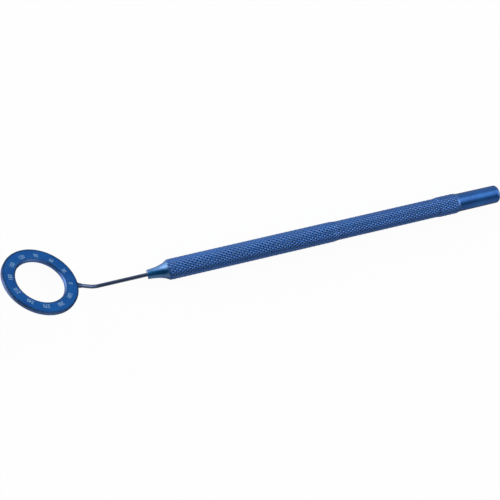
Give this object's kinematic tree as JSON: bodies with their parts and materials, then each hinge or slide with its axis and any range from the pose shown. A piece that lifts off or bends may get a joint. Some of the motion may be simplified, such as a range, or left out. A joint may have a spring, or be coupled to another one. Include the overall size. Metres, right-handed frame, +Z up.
{
  "type": "ophthalmic degree gauge",
  "caption": "Hand-held degree gauge for eye surgery: a flat graduated ring on a bent wire shaft, carried by a slim round knurled handle with a smooth tail, in blue anodised titanium.",
  "frame": {"origin": "middle of the footprint of the instrument as it lies on a table, at table height", "axes": "+X along the handle from the ring towards the tail; +Z straight up from the table; the ring leans over towards +Y of the handle, its marked face upwards"},
  "size_m": [0.1218, 0.0148, 0.0145],
  "materials": {
    "ring_titanium": "titanium anodised blue, fine matt blasted finish",
    "wire_titanium": "titanium wire anodised dark blue, drawn and polished",
    "weld_titanium": "weld metal anodised blue, dressed by hand",
    "turned_titanium": "titanium anodised blue, fine turned finish, satin bright",
    "knurled_titanium": "titanium anodised blue over a fine diamond knurl",
    "laser_marking": "pale laser-marked numbers and degree lines in the blue face"
  },
  "bodies": {
    "root": {"degree_ring": "ring_titanium", "weld_collar": "weld_titanium", "bent_shaft": "wire_titanium", "nose_cone": "turned_titanium", "handle_tube": "knurled_titanium", "tail_cap": "turned_titanium"}
  },
  "joints": []
}
